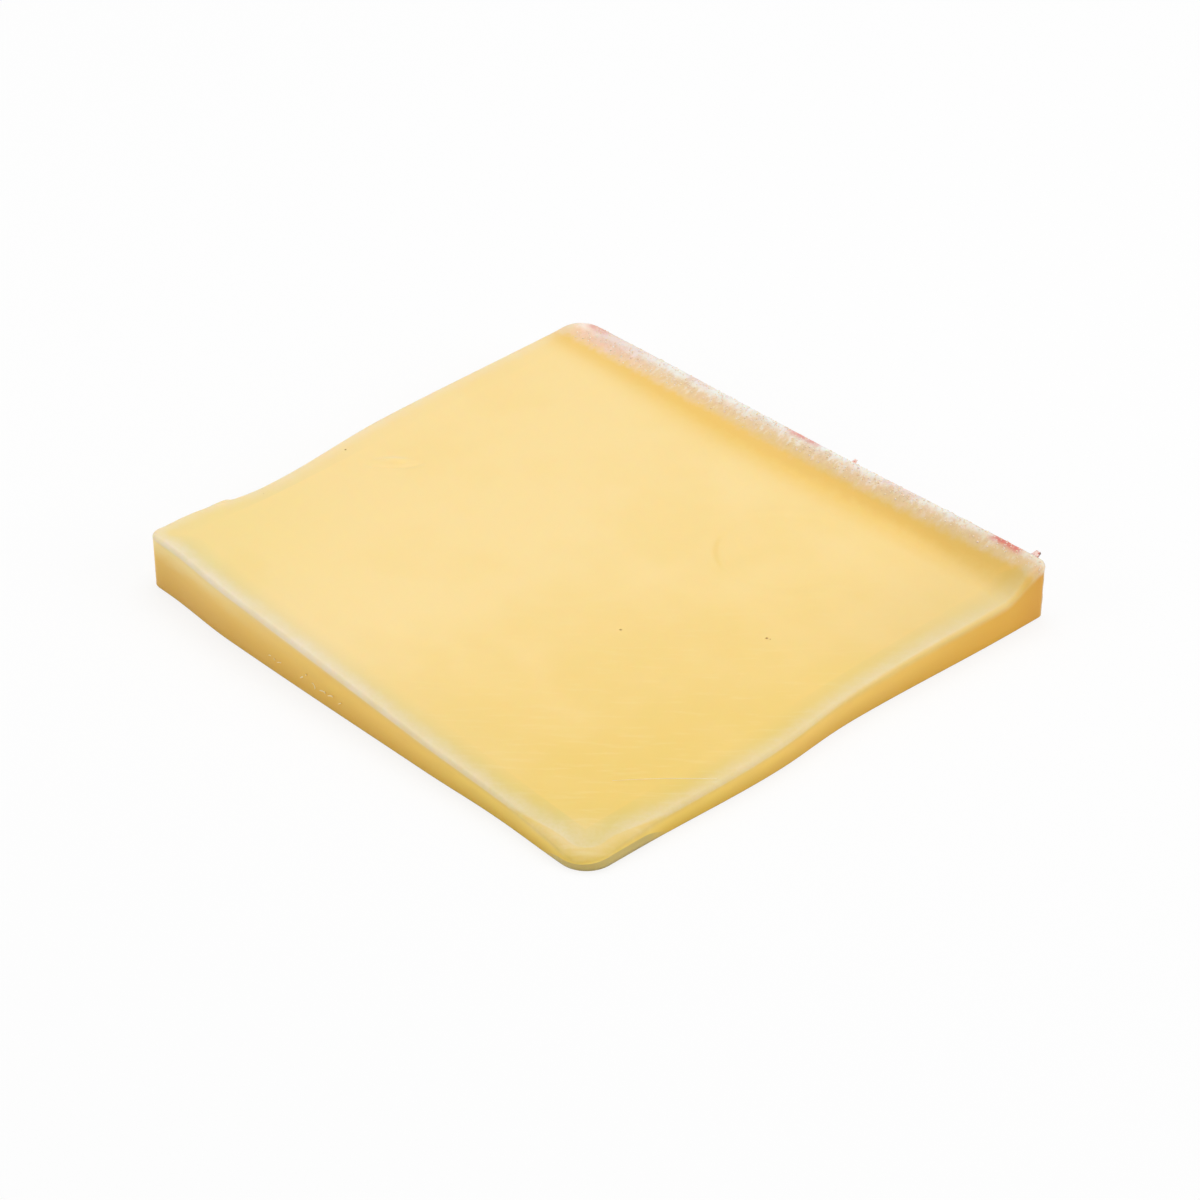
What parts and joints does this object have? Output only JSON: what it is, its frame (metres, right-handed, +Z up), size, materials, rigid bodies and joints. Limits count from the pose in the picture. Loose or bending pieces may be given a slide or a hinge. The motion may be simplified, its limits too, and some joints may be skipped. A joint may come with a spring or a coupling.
{
  "type": "emmental cheese slab",
  "caption": "Flat, nearly square slab of pale yellow alpine cheese, cut on three sides, thinning to one corner, with a rough dry rind raised along the fourth side",
  "frame": {"origin": "middle of the slab's box in plan, on the flat underside it rests on", "axes": "+Z up through the thickness; +X along the rind, to the thin side; +Y from the front cut face towards the rind"},
  "size_m": [0.1372, 0.1276, 0.0135],
  "materials": {
    "paste": "moist waxy cut cheese paste with a soft sheen"
  },
  "bodies": {
    "root": {"cheese_slab": "paste"}
  },
  "joints": []
}
